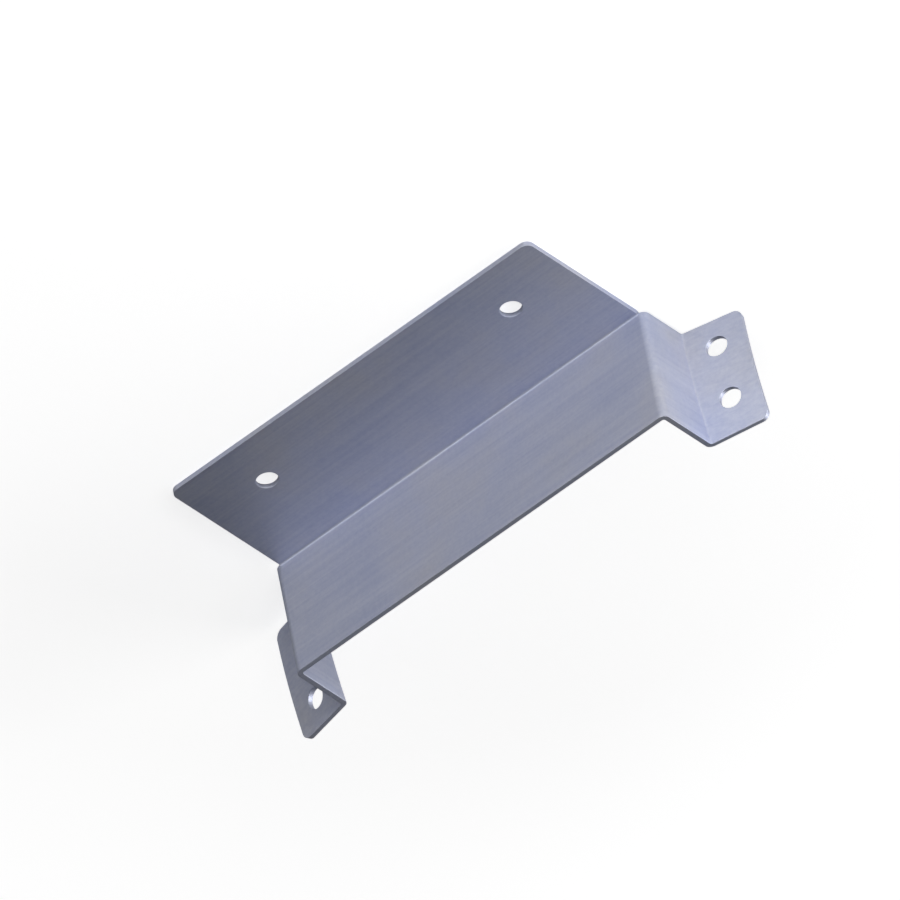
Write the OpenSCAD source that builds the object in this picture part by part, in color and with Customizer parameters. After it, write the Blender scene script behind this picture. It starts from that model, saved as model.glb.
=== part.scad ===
// Support bracket: one folded steel sheet with a drilled base, a web, two side flanges and two swept feet.
// Origin: midway between the two base holes, on the underside of the base. The web stands up along +Z.

/* [Sheet] */
// Thickness of the sheet
sheet_t = 1.5; // [1:0.1:2]
// Inside radius of every bend
bend_r = 0.75; // [0.5:0.05:1.5]

/* [Base] */
// Length of the base and of the flat web above it
base_l = 132; // [110:1:180]
// Width of the base from its free edge to the back of the web
base_w = 47.5; // [40:0.5:70]
// Radius of the two free corners of the base
base_corner_r = 2.6; // [1.5:0.1:6]
// Diameter of the base holes
base_hole_d = 6.5; // [4:0.1:9]
// Distance between the base holes
base_hole_pitch = 90; // [60:1:100]
// Distance from the free edge of the base to its holes
base_hole_edge = 17; // [10:0.5:22]

/* [Web and side flanges] */
// Height of the web over the underside of the base
web_h = 40; // [36:0.5:50]
// Depth of a side flange at the base, from the front of the web to the foot bend
side_depth = 15.4; // [12:0.1:30]

/* [Feet] */
// Radius of the arc that the foot bends follow, about an axis level with the underside of the base
seat_r = 206; // [150:1:300]
// Angle that a foot is bent out from its side flange
foot_bend = 75; // [65:1:85]
// Flat length of a foot from its bend to its outer edge
foot_l = 17.5; // [16:0.5:24]
// Radius of the outer corners of a foot
foot_corner_r = 2.6; // [1.5:0.1:5]
// Diameter of the foot holes
foot_hole_d = 6.5; // [4:0.1:7]
// Distance between the two holes of a foot
foot_hole_pitch = 18; // [12:0.1:19]
// Distance from the outer edge of a foot to its holes
foot_hole_edge = 9; // [6:0.1:10]
// Distance from the lower end of the left foot to its nearest hole
left_hole_inset = 9; // [6:0.1:10]
// Distance from the upper end of the right foot to its nearest hole
right_hole_inset = 8.6; // [6:0.1:10]

/* [Hidden] */
$fn = 96;

// Outer radius of every bend
bend_out = bend_r + sheet_t;
// Front face of the web, measured from the hole line of the base
web_front = base_w - sheet_t - base_hole_edge;
// Outer face of a side flange
side_face = base_l / 2 + bend_out;
// Axis of the swept feet, parallel to X on the level of the underside of the base
seat_axis = web_front + side_depth + seat_r;
// How far every cutter runs past what it cuts
cut_run = 4;
// How far the corner cutters sit outside exact tangency, so that they cross the edges cleanly
corner_lead = 0.01;
// How far the ends of a foot turn to the radial direction before the bend begins
end_lead = 0.05;
// How far the swept pieces and the straight side flanges share the same flat
lap = 1;

// Angles about the seat axis where a foot starts and ends
foot_start = asin(sheet_t / (seat_r + end_lead));
foot_end = asin(web_h / (seat_r + end_lead));

// Place on the front face of a foot at the length l past its bend: distance along X,
// then distance from the seat axis
function foot_x(l) = side_face + bend_r * (1 - cos(foot_bend)) + l * sin(foot_bend);
function foot_rho(l) = seat_r - bend_r * sin(foot_bend) - l * cos(foot_bend);

// Angle about the seat axis that an arc of the given length spans at the given radius
function arc_angle(arc, rho) = arc / rho * 180 / PI;
// Angle about the seat axis between two points a straight distance apart
function chord_angle(chord, rho) = 2 * asin(chord / 2 / rho);

// Holes of a foot: length past the bend, radius about the seat axis and angles of each pair
hole_l = foot_l - foot_hole_edge;
hole_rho = foot_rho(hole_l);
hole_step = chord_angle(foot_hole_pitch, hole_rho);
left_first = foot_start + arc_angle(left_hole_inset, hole_rho);
left_holes = [left_first, left_first + hole_step];
right_last = foot_end - arc_angle(right_hole_inset, hole_rho);
right_holes = [right_last - hole_step, right_last];

// Quarter ring of a right-angle bend, in the quadrant x >= 0, y <= 0 about its centre
module bend_quarter() {
    intersection() {
        difference() {
            circle(r = bend_out);
            circle(r = bend_r);
        }
        translate([0, -bend_out]) square(bend_out);
    }
}

// Section of the base and of the bend that raises the web, with Y across and Z up
module base_section() {
    translate([-base_hole_edge, 0]) square([base_w - bend_out, sheet_t]);
    translate([web_front - bend_r, bend_out]) bend_quarter();
}

// Extrudes a section drawn in Y and Z along X, about the middle
module along_x(length) {
    rotate([90, 0, 90]) linear_extrude(height = length, center = true) children();
}

// Plan of the web with its two side bends and the straight start of the side flanges
module web_plan() {
    translate([-base_l / 2, web_front]) square([base_l, sheet_t]);
    for (side = [0, 1]) mirror([side, 0]) {
        translate([base_l / 2, web_front + bend_out]) bend_quarter();
        translate([side_face - sheet_t, web_front + bend_out]) square([sheet_t, side_depth - bend_out - lap]);
    }
}

// Web and side flanges. The web starts above the base bend, the side flanges on the base's upper face.
module web_and_sides() {
    difference() {
        translate([0, 0, sheet_t]) linear_extrude(height = web_h - sheet_t) web_plan();
        translate([-base_l / 2, web_front - cut_run, 0]) cube([base_l, sheet_t + 2 * cut_run, bend_out]);
    }
}

// Section of a side flange, its foot bend and its foot, drawn about the centre of that bend.
// X runs away from the seat axis and Y runs outward along it.
module foot_section() {
    translate([0, -bend_out]) square([side_depth + cut_run, sheet_t]);
    intersection() {
        difference() {
            circle(r = bend_out);
            circle(r = bend_r);
        }
        translate([-bend_out, -bend_out]) square(bend_out);
        rotate(-foot_bend) translate([0, -bend_out]) square(bend_out);
    }
    rotate(-foot_bend) translate([-foot_l, -bend_out]) square([foot_l, sheet_t]);
}

// Side view that trims a swept foot: level with the side flange's ends,
// then radial across the bend and the foot
module foot_trim() {
    front = web_front + bend_out + lap;
    turn = seat_r + end_lead;
    inner = seat_r - foot_l;
    polygon([
        [front, sheet_t],
        [seat_axis - turn * cos(foot_start), sheet_t],
        [seat_axis - inner * cos(foot_start), inner * sin(foot_start)],
        [seat_axis - inner * cos(foot_end), inner * sin(foot_end)],
        [seat_axis - turn * cos(foot_end), web_h],
        [front, web_h]
    ]);
}

// One foot with its curved bend and the back of its side flange, on the +X side
module foot() {
    sweep = foot_end - foot_start;
    intersection() {
        translate([side_face + bend_r, seat_axis, 0]) rotate([90, 0, 90])
            rotate_extrude(angle = 3 * sweep, start = 180 - foot_end - sweep)
                translate([seat_r, 0]) foot_section();
        translate([side_face, 0, 0]) along_x(4 * foot_l) foot_trim();
    }
}

// Puts its children on the front face of the +X foot: X along the foot, Y up its arc, Z out of its front
module on_foot(l, angle) {
    translate([0, seat_axis, 0]) rotate([-angle, 0, 0])
        translate([foot_x(l), -foot_rho(l), 0]) rotate([90, 0, 90 - foot_bend]) children();
}

// Solid that rounds the corner of a plate in the quadrant x <= 0, y <= 0, drawn about the round's centre
module corner_cutter(r) {
    translate([0, 0, -sheet_t - cut_run]) linear_extrude(height = sheet_t + 2 * cut_run) difference() {
        square(r + cut_run);
        circle(r = r);
    }
}

// Rounds both outer corners of the +X foot
module foot_corners() {
    centre_l = foot_l - foot_corner_r + corner_lead;
    step = arc_angle(foot_corner_r - corner_lead, foot_rho(centre_l));
    on_foot(centre_l, foot_end - step) corner_cutter(foot_corner_r);
    on_foot(centre_l, foot_start + step) mirror([0, 1, 0]) corner_cutter(foot_corner_r);
}

// Holes through the +X foot, each square to the sheet at its own angle about the seat axis
module foot_holes(angles) {
    for (angle = angles) on_foot(hole_l, angle)
        translate([0, 0, -sheet_t - cut_run]) cylinder(d = foot_hole_d, h = sheet_t + 2 * cut_run);
}

// Holes through the base
module base_holes() {
    for (x = [-1, 1] * base_hole_pitch / 2)
        translate([x, 0, -cut_run]) cylinder(d = base_hole_d, h = sheet_t + 2 * cut_run);
}

// Rounds both free corners of the base
module base_corners() {
    inset = base_corner_r - corner_lead;
    for (side = [0, 1]) mirror([side, 0, 0])
        translate([base_l / 2 - inset, inset - base_hole_edge, sheet_t]) mirror([0, 1, 0])
            corner_cutter(base_corner_r);
}

// The folded sheet
module bracket() {
    color([0.68, 0.70, 0.78]) difference() {
        union() {
            along_x(base_l) base_section();
            web_and_sides();
            foot();
            mirror([1, 0, 0]) foot();
        }
        base_holes();
        base_corners();
        foot_corners();
        mirror([1, 0, 0]) foot_corners();
        foot_holes(right_holes);
        mirror([1, 0, 0]) foot_holes(left_holes);
    }
}

bracket();
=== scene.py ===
import math

import bpy
from mathutils import Matrix, Vector

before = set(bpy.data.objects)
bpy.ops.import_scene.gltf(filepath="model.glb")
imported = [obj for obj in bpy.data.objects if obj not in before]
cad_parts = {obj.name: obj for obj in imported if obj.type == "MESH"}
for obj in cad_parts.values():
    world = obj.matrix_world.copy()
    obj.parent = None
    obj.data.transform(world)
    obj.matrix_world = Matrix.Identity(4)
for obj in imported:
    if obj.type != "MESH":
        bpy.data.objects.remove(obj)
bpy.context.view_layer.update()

# The photograph is a parallel projection. One of its pixels is this many metres on the part.
PHOTO_PX = 900
METRES_PER_PX = 0.27375e-3
# Direction from the part to the camera, and the roll of the picture: the part stands upside down in it
CAMERA_AZIMUTH = -34.01
CAMERA_ELEVATION = 40.83
CAMERA_ROLL = 168.73
CAMERA_DISTANCE = 3.0
CAMERA_CLIP = 20.0
# Where the origin of the part, midway between the base holes on the underside, falls in the photograph
ORIGIN_PX = (388.5, 390.6)

# Colours of the plated sheet: most of it, its bluer and its warmer clouds, and its worn edges
ZINC = (0.55, 0.58, 0.72, 1.0)
ZINC_BLUE = (0.50, 0.54, 0.71, 1.0)
ZINC_WARM = (0.58, 0.595, 0.69, 1.0)
WORN = (0.72, 0.74, 0.83, 1.0)
# Colours of the clouds, each at a level of their noise
FILM_STOPS = [(0.30, ZINC_BLUE), (0.52, ZINC), (0.72, ZINC_WARM)]

# Textures of the sheet, as cells per metre. The rolling grain is stretched along the sheet's length.
CLOUD_SCALE = 38.0
MOTTLE_SCALE = 900.0
GRAIN_ALONG = 14.0
GRAIN_ACROSS = 900.0
# Greys that the mottle and the grain turn into, each a level of the noise and how light it gets there
MOTTLE_GREYS = [(0.30, 0.40), (0.70, 0.72)]
GRAIN_GREYS = [(0.35, 0.35), (0.65, 0.70)]
# How strongly these greys are laid over the colour
MOTTLE_SHARE = 0.24
GRAIN_SHARE = 0.22
# Wear at the edges: full where the rounded normal leaves the flat one, and more of it in the warmer clouds
EDGE_GREYS = [(0.80, 1.0), (0.995, 0.0)]
WEAR_GREYS = [(0.40, 0.25), (0.62, 0.80)]

# The film over the zinc is dull, so the sheet shines only partly as metal
METALLIC = 0.7
ROUGHNESS = 0.50
# How far the roughness moves over the whole range of the mottle, and again over that of the grain
ROUGHNESS_RANGE = 0.10
# Strength of the fine relief, its depth in metres, and what the mottle and the grain give to it
RELIEF_STRENGTH = 0.10
RELIEF_DEPTH = 0.0002
MOTTLE_HEIGHT = 0.6
GRAIN_HEIGHT = 0.8
# Rounding of the sheet's deburred edges in metres, and the rays that the rounding is averaged over
EDGE_ROUND = 0.00022
EDGE_SAMPLES = 6
# A face counts as a side flange where its normal leans this much towards X
SIDE_LEAN = 0.7

# Side of the square floor in metres, wide enough for a nearly level view
FLOOR_SIZE = 14.0
FLOOR_GREY = 0.60
# Glow that the floor adds for the camera alone: this much near the part, and full white far out
FLOOR_GLOW = 0.74
FULL_WHITE = 1.0
# Distances from the part between which the glow rises, in metres
GLOW_NEAR = 0.15
GLOW_FAR = 0.60
# Strength of the world as a light
WORLD_LIGHT = 0.06


def grey(value):
    return (value, value, value, 1.0)


def direction(azimuth, elevation):
    """Unit vector at an azimuth, counted from the front of the part, and an elevation, both in degrees."""
    turn = math.radians(azimuth)
    rise = math.radians(elevation)
    return Vector((math.sin(turn) * math.cos(rise), -math.cos(turn) * math.cos(rise), math.sin(rise)))


def camera_axes():
    """Right, up and back of the camera in the part's frame."""
    back = direction(CAMERA_AZIMUTH, CAMERA_ELEVATION)
    # To the right of the camera before it rolls
    level = direction(CAMERA_AZIMUTH + 90.0, 0.0)
    roll = math.radians(CAMERA_ROLL)
    right = level * math.cos(roll) + back.cross(level) * math.sin(roll)
    return right, back.cross(right), back


def make_camera():
    right, up, back = camera_axes()
    across = (PHOTO_PX / 2 - ORIGIN_PX[0]) * METRES_PER_PX
    down = (PHOTO_PX / 2 - ORIGIN_PX[1]) * METRES_PER_PX
    target = right * across - up * down
    data = bpy.data.cameras.new("camera")
    data.type = "ORTHO"
    data.ortho_scale = PHOTO_PX * METRES_PER_PX
    data.clip_end = CAMERA_CLIP
    camera = bpy.data.objects.new("camera", data)
    turn = Matrix((right, up, back)).transposed().to_4x4()
    camera.matrix_world = Matrix.Translation(target + back * CAMERA_DISTANCE) @ turn
    bpy.context.scene.collection.objects.link(camera)
    bpy.context.scene.camera = camera


def node_adder(tree):
    """Empties a node tree and gives a function that adds a node with its settings, values and links."""
    tree.nodes.clear()

    def add(kind, inputs=None, **settings):
        node = tree.nodes.new(kind)
        for key, value in settings.items():
            setattr(node, key, value)
        for key, value in (inputs or {}).items():
            if isinstance(value, bpy.types.NodeSocket):
                tree.links.new(value, node.inputs[key])
            else:
                node.inputs[key].default_value = value
        return node

    return add


def new_material(name):
    """A material with an empty node tree, and the function that adds nodes to it."""
    material = bpy.data.materials.new(name)
    material.use_nodes = True
    return material, node_adder(material.node_tree)


def noise(add, coords, detail, roughness, scale=1.0, stretch=(1.0, 1.0, 1.0)):
    """Noise over the sheet at one scale, or with a scale of its own along each axis."""
    mapped = add("ShaderNodeMapping", {"Vector": coords, "Scale": stretch})
    inputs = {"Vector": mapped.outputs["Vector"], "Scale": scale, "Detail": detail, "Roughness": roughness}
    return add("ShaderNodeTexNoise", inputs).outputs["Fac"]


def ramp(add, value, stops):
    """Colours between the stops, each of which is a level of the value and its colour."""
    node = add("ShaderNodeValToRGB", {"Fac": value})
    elements = node.color_ramp.elements
    while len(elements) < len(stops):
        elements.new(0.5)
    for element, (level, colour) in zip(elements, stops):
        element.position = level
        element.color = colour
    return node.outputs["Color"]


def grey_ramp(add, value, stops):
    """Greys between the stops, each of which is a level of the value and how light it gets."""
    return ramp(add, value, [(level, grey(light)) for level, light in stops])


def mix_colour(add, factor, first, second, blend="MIX"):
    # The node has sockets of the same name for each kind of data, so they are picked by their number
    inputs = {0: factor, 6: first, 7: second}
    return add("ShaderNodeMix", inputs, data_type="RGBA", blend_type=blend).outputs[2]


def mix_value(add, factor, first, second):
    inputs = {0: factor, 2: first, 3: second}
    return add("ShaderNodeMix", inputs, data_type="FLOAT").outputs[0]


def math_node(add, operation, first, second=0.0, third=0.0, clamp=False):
    inputs = {0: first, 1: second, 2: third}
    return add("ShaderNodeMath", inputs, operation=operation, use_clamp=clamp).outputs[0]


def map_range(add, value, from_low, from_high, to_low, to_high):
    return add("ShaderNodeMapRange", {
        "Value": value,
        "From Min": from_low,
        "From Max": from_high,
        "To Min": to_low,
        "To Max": to_high,
    }).outputs["Result"]


def rolling_grain(add, texture):
    """Grain along the sheet's length, which the side flanges turn from X to Y."""
    coords = texture.outputs["Object"]
    lean = add("ShaderNodeSeparateXYZ", {"Vector": texture.outputs["Normal"]}).outputs["X"]
    turned = math_node(add, "GREATER_THAN", math_node(add, "ABSOLUTE", lean), SIDE_LEAN)
    stretch_x = (GRAIN_ALONG, GRAIN_ACROSS, GRAIN_ACROSS)
    stretch_y = (GRAIN_ACROSS, GRAIN_ALONG, GRAIN_ACROSS)
    along_x = noise(add, coords, detail=6.0, roughness=0.6, stretch=stretch_x)
    along_y = noise(add, coords, detail=6.0, roughness=0.6, stretch=stretch_y)
    return mix_value(add, turned, along_x, along_y)


def edge_mask(add, rounded):
    """White where the rounded normal leaves the flat one, along the deburred edges."""
    flat = add("ShaderNodeNewGeometry").outputs["Normal"]
    agree = add("ShaderNodeVectorMath", {0: rounded, 1: flat}, operation="DOT_PRODUCT").outputs["Value"]
    return grey_ramp(add, agree, EDGE_GREYS)


def zinc_colour(add, clouds, mottle, grain, edge):
    """Clouds of the passivated film under the mottle and the grain, with the edges worn bright unevenly."""
    film = ramp(add, clouds, FILM_STOPS)
    mottled = mix_colour(add, MOTTLE_SHARE, film, grey_ramp(add, mottle, MOTTLE_GREYS), "OVERLAY")
    grained = mix_colour(add, GRAIN_SHARE, mottled, grey_ramp(add, grain, GRAIN_GREYS), "OVERLAY")
    wear = math_node(add, "MULTIPLY", edge, grey_ramp(add, clouds, WEAR_GREYS))
    return mix_colour(add, wear, grained, WORN)


def plating_roughness(add, mottle, grain):
    """Roughness that moves a little with the mottle and with the grain."""
    half = ROUGHNESS_RANGE / 2
    from_mottle = math_node(add, "MULTIPLY_ADD", mottle, ROUGHNESS_RANGE, ROUGHNESS - half)
    from_grain = math_node(add, "MULTIPLY_ADD", grain, ROUGHNESS_RANGE, -half)
    return math_node(add, "ADD", from_mottle, from_grain, clamp=True)


def fine_relief(add, mottle, grain, rounded):
    """Normal of the sheet with the fine relief of its mottle and its grain."""
    from_mottle = math_node(add, "MULTIPLY", mottle, MOTTLE_HEIGHT)
    from_grain = math_node(add, "MULTIPLY", grain, GRAIN_HEIGHT)
    height = math_node(add, "ADD", from_mottle, from_grain)
    inputs = {"Strength": RELIEF_STRENGTH, "Distance": RELIEF_DEPTH, "Height": height, "Normal": rounded}
    return add("ShaderNodeBump", inputs).outputs["Normal"]


def zinc_material():
    material, add = new_material("zinc_plated_steel")
    texture = add("ShaderNodeTexCoord")
    coords = texture.outputs["Object"]
    clouds = noise(add, coords, detail=3.0, roughness=0.55, scale=CLOUD_SCALE)
    mottle = noise(add, coords, detail=5.0, roughness=0.65, scale=MOTTLE_SCALE)
    grain = rolling_grain(add, texture)
    rounded = add("ShaderNodeBevel", {"Radius": EDGE_ROUND}, samples=EDGE_SAMPLES).outputs["Normal"]
    shader = add("ShaderNodeBsdfPrincipled", {
        "Base Color": zinc_colour(add, clouds, mottle, grain, edge_mask(add, rounded)),
        "Metallic": METALLIC,
        "Roughness": plating_roughness(add, mottle, grain),
        "Normal": fine_relief(add, mottle, grain, rounded),
    })
    add("ShaderNodeOutputMaterial", {"Surface": shader.outputs["BSDF"]})
    return material


def floor_material():
    """A pale floor that shows white to the camera and keeps the shadow."""
    material, add = new_material("floor")
    place = add("ShaderNodeTexCoord").outputs["Object"]
    away = add("ShaderNodeVectorMath", {0: place}, operation="LENGTH").outputs["Value"]
    whiter = map_range(add, away, GLOW_NEAR, GLOW_FAR, FLOOR_GLOW, FULL_WHITE)
    seen = add("ShaderNodeLightPath").outputs["Is Camera Ray"]
    strength = math_node(add, "MULTIPLY", seen, whiter)
    diffuse = add("ShaderNodeBsdfDiffuse", {"Color": grey(FLOOR_GREY)}).outputs["BSDF"]
    glow = add("ShaderNodeEmission", {"Color": grey(FULL_WHITE), "Strength": strength}).outputs["Emission"]
    both = add("ShaderNodeAddShader", {0: diffuse, 1: glow}).outputs["Shader"]
    add("ShaderNodeOutputMaterial", {"Surface": both})
    return material


def make_floor():
    half = FLOOR_SIZE / 2
    corners = [(-half, -half, 0), (half, -half, 0), (half, half, 0), (-half, half, 0)]
    mesh = bpy.data.meshes.new("floor")
    mesh.from_pydata(corners, [], [(0, 1, 2, 3)])
    mesh.materials.append(floor_material())
    floor = bpy.data.objects.new("floor", mesh)
    bpy.context.scene.collection.objects.link(floor)


def area_lamp(name, azimuth, elevation, distance, width, height, power):
    """A soft box, unseen by the camera, that faces the part from the given direction."""
    towards = direction(azimuth, elevation)
    data = bpy.data.lights.new(name, "AREA")
    data.shape = "RECTANGLE"
    data.size = width
    data.size_y = height
    data.energy = power
    lamp = bpy.data.objects.new(name, data)
    lamp.location = towards * distance
    lamp.rotation_euler = towards.to_track_quat("Z", "Y").to_euler()
    lamp.visible_camera = False
    bpy.context.scene.collection.objects.link(lamp)


def make_lamps():
    """Three low wide soft boxes that the upright faces catch, and a small one above."""
    area_lamp("key", azimuth=-78, elevation=8, distance=1.2, width=1.60, height=0.34, power=10.0)
    area_lamp("front", azimuth=-16, elevation=9, distance=1.5, width=2.60, height=0.46, power=16.0)
    area_lamp("top", azimuth=-40, elevation=60, distance=1.5, width=0.60, height=0.60, power=2.4)
    area_lamp("back", azimuth=-135, elevation=16, distance=1.5, width=1.60, height=0.70, power=14.0)


def make_world():
    """A world that is white to the camera and dim as a light."""
    world = bpy.data.worlds.new("world")
    world.use_nodes = True
    add = node_adder(world.node_tree)
    seen = add("ShaderNodeLightPath").outputs["Is Camera Ray"]
    strength = map_range(add, seen, 0.0, 1.0, WORLD_LIGHT, FULL_WHITE)
    background = add("ShaderNodeBackground", {"Color": grey(FULL_WHITE), "Strength": strength})
    add("ShaderNodeOutputWorld", {"Surface": background.outputs["Background"]})
    bpy.context.scene.world = world


make_camera()
make_floor()
make_lamps()
make_world()
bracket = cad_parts["bracket"]
bracket.data.materials.clear()
bracket.data.materials.append(zinc_material())
bpy.context.scene.view_settings.view_transform = "Standard"
